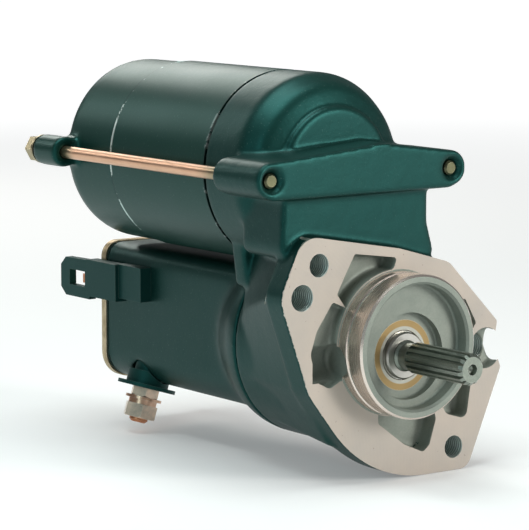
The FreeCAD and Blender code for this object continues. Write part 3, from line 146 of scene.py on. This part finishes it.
class Shade:
    """A material whose Principled shader is fed by signals."""

    def __init__(self, name):
        self.material = bpy.data.materials.new(name)
        self.material.use_nodes = True
        self.tree = self.material.node_tree
        self.shader = self.tree.nodes["Principled BSDF"]

    def add(self, kind, settings, inputs, output=0):
        return add_node(self.tree, kind, settings, inputs, output)

    def place(self):
        return self.add("ShaderNodeTexCoord", {}, {}, "Object")

    def axis(self, letter):
        return self.add("ShaderNodeSeparateXYZ", {}, {"Vector": self.place()}, letter)

    def stretched(self, scale):
        """The object's coordinates, scaled along each axis."""
        return self.add("ShaderNodeVectorMath", {"operation": "MULTIPLY"}, {0: self.place(), 1: scale})

    def noise(self, scale, detail=3.0, rough=0.5, where=None):
        inputs = {"Vector": where or self.place(), "Scale": scale, "Detail": detail, "Roughness": rough}
        return self.add("ShaderNodeTexNoise", {}, inputs)

    def band(self, signal, low, high):
        """0 at low, 1 at high, smooth between."""
        inputs = {"Value": signal, "From Min": low, "From Max": high}
        return self.add("ShaderNodeMapRange", {"interpolation_type": "SMOOTHSTEP"}, inputs)

    def mix(self, factor, first, second):
        """A colour between two colours."""
        return self.add("ShaderNodeMix", {"data_type": "RGBA"}, {0: factor, 6: first, 7: second}, 2)

    def edge(self, radius, low=0.02, high=0.25):
        """1 on sharp edges, 0 on flat faces."""
        soft = self.add("ShaderNodeBevel", {"samples": 6}, {"Radius": radius})
        plain = self.add("ShaderNodeNewGeometry", {}, {}, "Normal")
        facing = self.add("ShaderNodeVectorMath", {"operation": "DOT_PRODUCT"}, {0: soft, 1: plain}, 1)
        return self.band(1.0 - facing, low, high)

    def bump(self, height, distance, strength=1.0, below=None):
        inputs = {"Height": height, "Distance": distance, "Strength": strength}
        if below is not None:
            inputs["Normal"] = below
        return self.add("ShaderNodeBump", {}, inputs)

    def finish(self, color, roughness, normal, metallic=0.0, **others):
        """Feeds the shader. others are its further inputs, with _ for each space."""
        values = {"Base_Color": color, "Roughness": roughness, "Normal": normal, "Metallic": metallic}
        values.update(others)
        for name, item in values.items():
            feed(self.tree, self.shader.inputs[name.replace("_", " ")], item)
        return self.material


def linear(level):
    """The linear value of one display level between 0 and 255."""
    if level > 10:
        return ((level / 255 + 0.055) / 1.055) ** 2.4
    return level / (255 * 12.92)


def rgb(red, green, blue):
    return (linear(red), linear(green), linear(blue), 1.0)


# ---------------------------------------------------------------- materials
BARE_METAL = rgb(205, 198, 190)
THREAD_TURNS = 250.0
# the green film colours what it mirrors face on, and mirrors white at a grazing angle
ENAMEL = {"Specular_IOR_Level": 0.42, "Specular_Tint": (0.22, 1.0, 0.93, 1.0)}


def paint(name, grain, worn_face=False):
    """Satin dark green enamel. grain is the height of the casting texture beneath it."""
    s = Shade(name)
    cloud = s.noise(26.0, 4.0, 0.55)
    fine = s.noise(900.0, 3.0, 0.6)
    speck = s.band(s.noise(1500.0, 2.0, 0.5), 0.66, 0.72)
    color = s.mix(cloud, rgb(3, 30, 28), rgb(16, 41, 35))
    color = s.mix(speck * 0.35, color, rgb(84, 104, 98))
    rub = s.edge(0.7 * MM, 0.05, 0.3) * s.band(s.noise(160.0, 5.0, 0.7), 0.5, 0.62)
    color = s.mix(rub * 0.5, color, rgb(96, 112, 104))
    metallic = 0.0
    if worn_face:
        # the cutter leaves a ragged bright line where it meets the paint at the mounting face
        ragged = s.noise(420.0, 4.0, 0.65) * (1.5 * MM)
        front = 1.0 - s.band(s.axis("Y") - ragged, -0.4 * MM, 0.0)
        below_top = 1.0 - s.band(s.axis("Z"), FLANGE_TOP - 2 * MM, FLANGE_TOP)
        rim = front * below_top
        color = s.mix(rim, color, BARE_METAL)
        metallic = rim * 0.8
    roughness = 0.3 + cloud * 0.12 + fine * 0.1
    normal = s.bump(fine, grain)
    normal = s.bump(s.noise(130.0, 3.0, 0.5), grain * 5.0, 1.0, normal)
    return s.finish(color, roughness, normal, metallic, **ENAMEL)


def seam_paint(name, seams):
    """The enamel of the motor's steel case, chipped to bare metal along its seams, with painted shade in
    each seam's gap.
    """
    s = Shade(name)
    cloud = s.noise(20.0, 4.0, 0.5)
    fine = s.noise(800.0, 3.0, 0.55)
    color = s.mix(cloud, rgb(4, 34, 30), rgb(20, 46, 37))
    color = s.mix(s.band(s.noise(1500.0, 2.0, 0.5), 0.66, 0.72) * 0.3, color, rgb(88, 108, 102))
    chip = 0.0
    for seam, amount in seams:
        off = (s.axis("Y") - seam).math("ABSOLUTE")
        near = 1.0 - s.band(off, 0.5 * MM, 1.5 * MM)
        flake = s.band(s.noise(70.0, 5.0, 0.75), 0.58 - 0.09 * amount, 0.6 - 0.06 * amount)
        chip = near * flake * amount + chip
        # a near-black line along each seam is painted shade in the gap between the two parts
        color = s.mix(1.0 - s.band(off, 0.3 * MM, 0.7 * MM), color, rgb(8, 14, 13))
    color = s.mix(chip.math("MINIMUM", 1.0), color, rgb(206, 212, 208))
    normal = s.bump(fine, 0.012 * MM)
    normal = s.bump(s.noise(75.0, 2.0, 0.5), 0.05 * MM, 1.0, normal)
    roughness = 0.28 + cloud * 0.12 + fine * 0.08
    return s.finish(color, roughness, normal, chip * 0.6, **ENAMEL)


def milled_face():
    """The mounting face: pale, cut by a wide cutter, with a few pores."""
    s = Shade("milled_face")
    sweep = s.add("ShaderNodeTexWave", {"wave_type": "RINGS", "rings_direction": "Y"},
                  {"Vector": s.add("ShaderNodeVectorMath", {"operation": "ADD"},
                                   {0: s.place(), 1: (0.11, 0.0, 0.05)}),
                   "Scale": 190.0, "Distortion": 0.6, "Detail": 2.0}, 1)
    cloud = s.noise(40.0, 4.0, 0.6)
    pore = s.band(s.noise(620.0, 2.0, 0.5), 0.7, 0.74)
    grey_edge = s.edge(0.5 * MM, 0.05, 0.3)
    color = s.mix(cloud, rgb(184, 170, 156), rgb(158, 154, 148))
    color = s.mix(sweep * 0.08, color, rgb(172, 162, 158))
    color = s.mix(pore * 0.6, color, rgb(110, 104, 100))
    color = s.mix(grey_edge * 0.4, color, rgb(214, 208, 200))
    normal = s.bump(sweep, 0.01 * MM, 0.5)
    normal = s.bump(cloud, 0.05 * MM, 0.6, normal)
    return s.finish(color, 0.5 + cloud * 0.16, normal, 0.25)


def turned_metal(name, light, dark, roughness=0.24, metallic=1.0, pitch=3400.0, wear=0.5):
    """Metal with fine turning marks round its axis, along Y."""
    s = Shade(name)
    rings = s.noise(1.0, 3.0, 0.6, s.stretched((pitch * 0.01, pitch, pitch * 0.01)))
    cloud = s.noise(60.0, 4.0, 0.6)
    color = s.mix(rings * 0.6 + cloud * 0.4, dark, light)
    color = s.mix(s.edge(0.4 * MM) * wear, color, BARE_METAL)
    normal = s.bump(rings, 0.012 * MM, 0.6)
    return s.finish(color, roughness + rings * 0.14, normal, metallic)


def cut_threads():
    """A tapped bore: a painted highlight on the crest and painted shade in the root of each turn of the
    thread.
    """
    s = Shade("hole_threads")
    turns = s.add("ShaderNodeTexWave", {"bands_direction": "Y"},
                  {"Vector": s.place(), "Scale": THREAD_TURNS, "Distortion": 0.3}, 1)
    cloud = s.noise(160.0, 4.0, 0.6)
    # the bright and dark bands are painted highlights on the thread's crests and painted shade in its roots
    color = s.mix(turns * 0.7 + cloud * 0.3, rgb(70, 98, 96), rgb(226, 236, 230))
    normal = s.bump(turns, 0.5 * MM, 0.9)
    return s.finish(color, 0.3 + cloud * 0.15, normal, 0.55)


def cast_metal():
    """Bare die-cast metal inside the pockets: matte, grey-green, slightly rough."""
    s = Shade("cast_metal")
    cloud = s.noise(70.0, 5.0, 0.6)
    grit = s.noise(1100.0, 3.0, 0.6)
    color = s.mix(cloud, rgb(112, 122, 114), rgb(156, 160, 150))
    color = s.mix(grit * 0.35, color, rgb(92, 100, 94))
    normal = s.bump(grit, 0.05 * MM, 0.9)
    normal = s.bump(cloud, 0.3 * MM, 0.6, normal)
    return s.finish(color, 0.5 + grit * 0.2, normal, 0.45)


def plated(name, light, dark, patch=90.0, roughness=0.26):
    """Zinc plate with uneven passivation and brighter worn edges."""
    s = Shade(name)
    cloud = s.noise(patch, 5.0, 0.65)
    fine = s.noise(1300.0, 3.0, 0.6)
    color = s.mix(s.band(cloud, 0.32, 0.68), dark, light)
    color = s.mix(s.edge(0.5 * MM) * 0.5, color, rgb(236, 226, 212))
    normal = s.bump(fine, 0.012 * MM, 0.7)
    return s.finish(color, roughness + cloud * 0.18, normal, 0.95)


def bolt_plate():
    """The through bolts: pinkish gold on the long shank, olive near the heads and threads."""
    s = Shade("through_bolt_plate")
    cloud = s.noise(120.0, 5.0, 0.65)
    streak = s.noise(1.0, 4.0, 0.6, s.stretched((900.0, 60.0, 900.0)))
    y = s.axis("Y")
    ends = (1.0 - s.band(y, 34 * MM, 50 * MM)) + s.band(y, 136 * MM, 146 * MM)
    shank = s.mix(cloud * 0.5 + streak * 0.5, rgb(186, 138, 106), rgb(244, 204, 174))
    olive = s.mix(cloud, rgb(96, 104, 82), rgb(164, 164, 130))
    color = s.mix(ends.math("MINIMUM", 1.0) * 0.8, shank, olive)
    # the bolt tips recessed in the ears are darkened further: painted shade of their recess, over their
    # olive plating
    color = s.mix(s.band(y, 4 * MM, 2 * MM), color, s.mix(cloud, rgb(58, 62, 48), rgb(118, 116, 88)))
    color = s.mix(s.edge(0.5 * MM) * 0.5, color, rgb(226, 216, 190))
    normal = s.bump(streak, 0.01 * MM, 0.7)
    return s.finish(color, 0.24 + cloud * 0.2, normal, 0.95)


def moulded(name, light, dark, roughness=0.42):
    """Glass-filled nylon or rubber: dark, with flow marks and pale fibre at the edges."""
    s = Shade(name)
    cloud = s.noise(55.0, 4.0, 0.6)
    fibre = s.noise(1.0, 3.0, 0.6, s.stretched((1500.0, 500.0, 1500.0)))
    color = s.mix(cloud * 0.7 + fibre * 0.3, dark, light)
    color = s.mix(s.edge(0.5 * MM) * 0.45, color, rgb(92, 104, 98))
    normal = s.bump(fibre, 0.02 * MM, 0.6)
    return s.finish(color, roughness + fibre * 0.16, normal, **ENAMEL)


def wound_copper():
    """Enamelled wire, laid in fine turns."""
    s = Shade("wound_copper")
    turns = s.add("ShaderNodeTexWave", {"bands_direction": "Y"},
                  {"Vector": s.place(), "Scale": 420.0, "Distortion": 0.8, "Detail": 2.0}, 1)
    cloud = s.noise(80.0, 4.0, 0.6)
    color = s.mix(turns * 0.6 + cloud * 0.4, rgb(104, 52, 28), rgb(190, 112, 68))
    return s.finish(color, 0.3 + cloud * 0.15, s.bump(turns, 0.15 * MM, 0.8), 0.8)


def make_materials():
    steel = turned_metal("bright_steel", rgb(196, 194, 188), rgb(140, 138, 132))
    return {
        "housing_paint": paint("casting_paint", 0.03 * MM),
        "zinc_yellow": bolt_plate(),
        "zinc_silver": plated("silver_zinc", rgb(226, 218, 206), rgb(170, 164, 154)),
        "zinc_gold": plated("gold_zinc", rgb(206, 190, 158), rgb(134, 116, 82), 60.0, 0.34),
        "black_rubber": moulded("gasket_rubber", rgb(34, 38, 37), rgb(22, 24, 24), 0.6),
        "black_plastic": moulded("green_black_nylon", rgb(20, 50, 46), rgb(8, 34, 32), 0.42),
        "ferrite": moulded("ferrite", rgb(70, 70, 74), rgb(48, 48, 52), 0.5),
        "spring_steel": turned_metal("spring_steel", rgb(188, 188, 186), rgb(128, 128, 126), 0.3),
        "bearing_steel": steel,
        "shaft_steel": shaft_steel(),
        "copper": plated("copper", rgb(222, 158, 118), rgb(158, 98, 66), 70.0, 0.28),
        "carbon": moulded("brush_carbon", rgb(62, 54, 50), rgb(38, 34, 33), 0.55),
    }


def bearing_face():
    """The bearing's outer ring is brownish gold, and its shield is silver, split by radius."""
    s = Shade("bearing_face")
    x = s.axis("X") - SHAFT_AXIS.x
    z = s.axis("Z") - SHAFT_AXIS.z
    radius = (x * x + z * z).math("SQRT")
    rings = s.noise(1.0, 2.0, 0.5, s.stretched((60.0, 2400.0, 60.0)))
    outer = s.band(radius, SHIELD_RADIUS - 0.2 * MM, SHIELD_RADIUS + 0.2 * MM)
    color = s.mix(outer, rgb(176, 178, 170), rgb(158, 134, 92))
    color = s.mix(rings * 0.4, color, rgb(92, 78, 56))
    color = s.mix(s.edge(0.4 * MM) * 0.6, color, rgb(226, 214, 190))
    return s.finish(color, 0.28 + rings * 0.14, s.bump(rings, 0.01 * MM, 0.5), 0.9)


def shaft_steel():
    """Oiled, ground steel with a green cast, brighter on the crests of the splines."""
    s = Shade("oiled_shaft_steel")
    draw = s.noise(1.0, 4.0, 0.6, s.stretched((1400.0, 120.0, 1400.0)))
    cloud = s.noise(90.0, 4.0, 0.6)
    color = s.mix(draw * 0.5 + cloud * 0.5, rgb(86, 96, 88), rgb(160, 166, 156))
    color = s.mix(s.edge(0.35 * MM) * 0.6, color, rgb(220, 222, 214))
    normal = s.bump(draw, 0.015 * MM, 0.7)
    return s.finish(color, 0.26 + cloud * 0.2, normal, 0.95)


# ---------------------------------------------------------------- skins of the castings
def welded_copy(node, name):
    """A copy of a CAD node's mesh with its split corners joined."""
    mesh = frame["nodes"][node].data.copy()
    work = bmesh.new()
    work.from_mesh(mesh)
    bmesh.ops.remove_doubles(work, verts=work.verts, dist=0.001 * MM)
    work.to_mesh(mesh)
    work.free()
    piece = bpy.data.objects.new(name, mesh)
    bpy.context.scene.collection.objects.link(piece)
    return piece


def regrown(piece, voxel):
    """Replaces a piece's mesh by one of even small faces, and returns its points."""
    remesh = piece.modifiers.new("even_faces", "REMESH")
    remesh.mode = "VOXEL"
    remesh.voxel_size = voxel
    remesh.use_smooth_shade = True
    mesh = bpy.data.meshes.new_from_object(piece.evaluated_get(bpy.context.evaluated_depsgraph_get()))
    piece.modifiers.clear()
    piece.data = mesh
    return points_of(mesh)


def points_of(mesh):
    flat = np.empty(len(mesh.vertices) * 3, np.float32)
    mesh.vertices.foreach_get("co", flat)
    return flat.reshape(-1, 3).astype(float)


def soften(mesh, points, weight, rounds):
    """Moves each point towards its neighbours' mean, rounds times, by its own weight."""
    ends = np.empty(len(mesh.edges) * 2, np.int32)
    mesh.edges.foreach_get("vertices", ends)
    first, second = ends.reshape(-1, 2).T
    count = len(points)
    degree = np.bincount(ends, minlength=count).astype(float)
    for _ in range(rounds):
        mean = np.empty_like(points)
        for axis in range(3):
            column = points[:, axis]
            total = np.bincount(first, column[second], count) + np.bincount(second, column[first], count)
            mean[:, axis] = total / degree
        points = points + (mean - points) * (weight * 0.6)[:, None]
    mesh.vertices.foreach_set("co", points.astype(np.float32).ravel())
    mesh.update()
    return points


def smooth_ramp(values, low, high):
    t = np.clip((values - low) / (high - low), 0.0, 1.0)
    return t * t * (3 - 2 * t)


def cast_skin(node, name, weigh, rounds, voxel):
    """A softened skin of one casting. weigh gives each point's share of the softening."""
    piece = welded_copy(node, name)
    points = regrown(piece, voxel)
    soften(piece.data, points, weigh(points), rounds)
    return piece


def housing_weight(points):
    """Full softening on the painted casting, none near the machined face and pilot."""
    x, y, z = points.T
    away = smooth_ramp(y, 0.6 * MM, 5 * MM)
    above = smooth_ramp(z, FLANGE_TOP - 1 * MM, FLANGE_TOP + 3 * MM)
    weight = np.maximum(away, above)
    pocket = (np.hypot(x, z) < POCKET_REACH) & (y < FLANGE_DEPTH + 1 * MM)
    weight[pocket] = 0.15
    low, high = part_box("yoke")
    axis = (low + high) / 2
    ridge = (np.hypot(x - axis.x, z - axis.z) < RIDGE_RADIUS) & (z > axis.z + 12 * MM)
    weight[ridge] *= 0.25
    return weight


def hole_axes():
    """The flange's holes as (x, z, radius), from the record's two bolt patterns."""
    openings = frame["record"]["physics"]["openings"]
    radii = {"mount_hole": MOUNTS["mounting_holes"]["dims"]["hole_r_mm"],
             "tapped_hole": MOUNTS["tapped_holes"]["dims"]["hole_r_mm"]}
    found = []
    for opening in openings:
        low, high = opening["box_m"]
        for prefix, radius in radii.items():
            if opening["name"].startswith(prefix):
                found.append(((low[0] + high[0]) / 2, (low[2] + high[2]) / 2, (radius + 0.15) * MM))
    return found


HOLES = hole_axes()


def in_hole(point):
    near = any(math.hypot(point.x - x, point.z - z) < radius + SKIN_REACH for x, z, radius in HOLES)
    return near and point.y < HOLE_DEPTH


def is_bare(center, normal, tree):
    """Whether a face of the drive housing's skin is bare cast metal, inside the flange's outline."""
    top_edge = np.interp(center.x, TOP_EDGE_X, TOP_EDGE_Z) - 0.6 * MM
    if center.z > top_edge or center.y > CASTING_DEPTH:
        return False
    if math.hypot(center.x, center.z) < PILOT_RADIUS + 1 * MM:
        return True
    if in_hole(center):
        return True
    if center.y > FLANGE_DEPTH or normal.y > FACING:
        return False
    if center.y > 1 * MM and center.z > LEFT_SHOULDER.z and center.x < LEFT_SHOULDER.x:
        return False
    if normal.y < -FACING:
        return True
    level = Vector((normal.x, 0.0, normal.z)).normalized()
    return tree.ray_cast(center + level * (0.3 * MM), level, 0.05)[0] is not None


def drive_housing_skin():
    node = "drive_housing"
    skin = cast_skin(node, "drive_housing_skin", housing_weight, 14, 0.65 * MM)
    mesh = skin.data
    mesh.materials.clear()
    for material in (paint("drive_housing_paint", 0.035 * MM, worn_face=True), cast_metal()):
        mesh.materials.append(material)
    tree = BVHTree.FromPolygons([v.co for v in mesh.vertices], [p.vertices for p in mesh.polygons])
    for face in mesh.polygons:
        face.material_index = 1 if is_bare(face.center, face.normal, tree) else 0
    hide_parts(node)
    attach(skin, "root")
    return skin


def sink(skin):
    """Drops the skin just beneath the crisp machined faces that lie over it."""
    mesh = skin.data
    points = points_of(mesh)
    normals = np.empty(len(points) * 3, np.float32)
    mesh.vertices.foreach_get("normal", normals)
    x, y, z = points.T
    face = (y < 0.9 * MM) & (z < FLANGE_TOP)
    bores = (np.hypot(x, z) < PILOT_RADIUS + SKIN_REACH) & (y < BORE_DEPTH)
    for hole_x, hole_z, radius in HOLES:
        bores |= (np.hypot(x - hole_x, z - hole_z) < radius + SKIN_REACH) & (y < HOLE_DEPTH)
    depth = np.where(face | bores, SKIN_DROP, 0.0)
    points -= normals.reshape(-1, 3) * depth[:, None]
    mesh.vertices.foreach_set("co", points.astype(np.float32).ravel())
    mesh.update()


def machined_kind(spots):
    """Which cut made a face: 0 milled, 1 turned, 2 left as cast, 3 drilled, or None for painted."""
    low = min(p.y for p in spots)
    high = max(p.y for p in spots)
    from_pilot = [math.hypot(p.x, p.z) for p in spots]
    if high < FLAT and low > -FLAT and max(p.z for p in spots) < FLANGE_TOP:
        return 0
    if high < FLAT and max(from_pilot) < PILOT_RADIUS + 2 * FLAT:
        return 1 if min(from_pilot) > PILOT_RADIUS - 1 * MM else 2
    if high < PILOT_FLOOR_DEPTH and max(from_pilot) < PILOT_RADIUS - 6 * MM:
        return 2
    for x, z, radius in HOLES:
        if high < HOLE_DEPTH and max(math.hypot(p.x - x, p.z - z) for p in spots) < radius:
            return 3
    return None


def machined_faces():
    """The drive housing's milled, turned and drilled faces, taken crisp from its CAD mesh."""
    node = "drive_housing"
    source = frame["nodes"][node]
    piece = source.copy()
    piece.data = source.data.copy()
    piece.name = "machined_faces"
    piece.hide_render = False
    piece.hide_viewport = False
    bpy.context.scene.collection.objects.link(piece)
    piece.parent = None
    mesh = piece.data
    mesh.materials.clear()
    turned = turned_metal("pilot_turning", rgb(240, 228, 218), rgb(206, 192, 182), 0.2, 0.95, 2600.0)
    for material in (milled_face(), turned, cast_metal(), cut_threads()):
        mesh.materials.append(material)
    kinds = [machined_kind([mesh.vertices[i].co for i in face.vertices]) for face in mesh.polygons]
    for face, kind in zip(mesh.polygons, kinds):
        face.material_index = kind or 0
    work = bmesh.new()
    work.from_mesh(mesh)
    work.faces.ensure_lookup_table()
    unused = [face for face, kind in zip(work.faces, kinds) if kind is None]
    bmesh.ops.delete(work, geom=unused, context="FACES")
    work.to_mesh(mesh)
    work.free()
    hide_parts(node)
    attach(piece, "root")
    return piece


def solenoid_skin():
    """The box blends into the gear case, and stays sharp at its front seam and rear joint."""
    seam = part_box("yoke")[0].y
    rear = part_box("solenoid_housing")[1].y

    def weigh(points):
        y = points[:, 1]
        front_fade = smooth_ramp(y, seam + 0.5 * MM, seam + 4 * MM)
        return front_fade * (1 - smooth_ramp(y, rear - 3 * MM, rear - 1 * MM))

    skin = cast_skin("solenoid_housing", "solenoid_housing_skin", weigh, 40, 0.8 * MM)
    return dress(skin, "solenoid_housing", paint("solenoid_paint", 0.02 * MM))


def cover_skin(seams):
    """The rear cover with soft corners, sharp at its seam with the yoke."""
    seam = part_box("rear_cover")[0].y

    def weigh(points):
        return smooth_ramp(points[:, 1], seam + 0.6 * MM, seam + 3 * MM)

    skin = cast_skin("rear_cover", "rear_cover_skin", weigh, 14, 0.8 * MM)
    return dress(skin, "rear_cover", seam_paint("rear_cover_paint", seams))


def dress(piece, node, material):
    piece.data.materials.clear()
    piece.data.materials.append(material)
    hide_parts(node)
    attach(piece, "root")
    return piece


# ---------------------------------------------------------------- materials of the nodes
def dress_nodes(materials, seams):
    """Each CAD node takes the material of its slot in the record."""
    slots = {p["node"]: p["material_slot"] for p in frame["record"]["subparts"]}
    special = {
        "yoke": seam_paint("yoke_paint", seams),
        "battery_nuts": plated("nut_zinc", rgb(252, 224, 200), rgb(190, 178, 162), 70.0, 0.2),
        "battery_washers": plated("washer_zinc", rgb(244, 206, 180), rgb(190, 150, 124), 80.0, 0.24),
        "clutch_bearing_outer_rings": bearing_face(),
        "clutch_bearing_inner_rings": turned_metal("bearing_silver", rgb(206, 206, 198), rgb(150, 150, 142)),
        "armature_windings": wound_copper(),
        "solenoid_coil": wound_copper(),
    }
    for name, node in frame["nodes"].items():
        node.data.materials.clear()
        node.data.materials.append(special.get(name) or materials[slots[name]])


# ---------------------------------------------------------------- studio
def area_light(name, place, target, size, power, color=(1.0, 1.0, 1.0)):
    light = bpy.data.lights.new(name, "AREA")
    light.shape = "RECTANGLE"
    light.size, light.size_y = size
    light.energy = power
    light.color = color
    lamp = bpy.data.objects.new(name, light)
    lamp.location = place
    lamp.rotation_euler = (Vector(target) - Vector(place)).to_track_quat("-Z", "Y").to_euler()
    bpy.context.scene.collection.objects.link(lamp)
    return lamp


AIR_GLOW = 0.16


def studio():
    bpy.context.scene.view_settings.view_transform = "Standard"
    floor_z = cad_box[0][2] - 0.2 * MM
    bpy.ops.mesh.primitive_plane_add(size=12.0, location=(0.0, 0.0, floor_z))
    floor = bpy.context.object
    floor.name = "floor"
    s = Shade("pale_floor")
    cloud = s.noise(3.0, 3.0, 0.5)
    color = s.mix(cloud, (0.68, 0.68, 0.68, 1.0), (0.72, 0.72, 0.715, 1.0))
    # the far floor glows to white, as a lit backdrop does, and stays dim near the object
    away = s.add("ShaderNodeVectorMath", {"operation": "LENGTH"}, {0: s.place()}, 1)
    glow = s.mix(s.band(away, 0.35, 2.2), (0.22, 0.22, 0.22, 1.0), (0.92, 0.92, 0.92, 1.0))
    grain = s.bump(s.noise(60.0), 0.1 * MM, 0.2)
    floor.data.materials.append(s.finish(color, 0.8, grain, Emission_Color=glow, Emission_Strength=1.0))
    world = bpy.data.worlds.new("studio_air")
    world.use_nodes = True
    back = world.node_tree.nodes["Background"]
    back.inputs["Color"].default_value = (0.97, 0.985, 1.0, 1.0)
    behind = add_node(world.node_tree, "ShaderNodeLightPath", {}, {}, "Is Camera Ray")
    feed(world.node_tree, back.inputs["Strength"], behind * (1.0 - AIR_GLOW) + AIR_GLOW)
    bpy.context.scene.world = world
    middle = (-0.02, 0.05, 0.02)
    area_light("overhead_softbox", (-0.2, 0.0, 1.1), middle, (0.7, 0.8), 11.0, (0.9, 1.0, 0.99))
    rim = area_light("back_softbox", (0.35, 1.05, 0.62), middle, (0.5, 0.22), 2.6, (1.0, 0.97, 0.92))
    rim.visible_camera = False
    streak = area_light("rear_left_strip", (-0.42, 1.0, 0.62), middle, (0.1, 0.5), 1.1, (1.0, 0.98, 0.95))
    streak.visible_camera = False
    area_light("cool_left_fill", (-1.05, -0.35, 0.45), middle, (0.35, 0.5), 2.0, (0.62, 0.95, 1.0))
    area_light("warm_front_key", (0.55, -1.1, 0.4), middle, (0.4, 0.6), 12.5, (1.0, 0.985, 0.95))


# the camera's direction, distance and lens match a long-lens product view
AZIMUTH = math.radians(-36.014)
ELEVATION = math.radians(7.706)
DISTANCE = 1.11929
AIM = Vector((-0.027525, 0.050, 0.027564))
LENS = 189.5


def camera():
    data = bpy.data.cameras.new("camera")
    data.lens = LENS
    eye = bpy.data.objects.new("camera", data)
    back = Vector((math.sin(AZIMUTH) * math.cos(ELEVATION), -math.cos(AZIMUTH) * math.cos(ELEVATION),
                   math.sin(ELEVATION)))
    eye.location = AIM + back * DISTANCE
    eye.rotation_euler = (-back).to_track_quat("-Z", "Y").to_euler()
    bpy.context.scene.collection.objects.link(eye)
    bpy.context.scene.camera = eye


def main():
    yoke_low, yoke_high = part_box("yoke")
    seams = ((yoke_low.y, 0.25), (yoke_high.y, 1.0))
    materials = make_materials()
    dress_nodes(materials, seams)
    skin = drive_housing_skin()
    sink(skin)
    machined_faces()
    solenoid_skin()
    cover_skin(seams)
    studio()
    camera()


main()
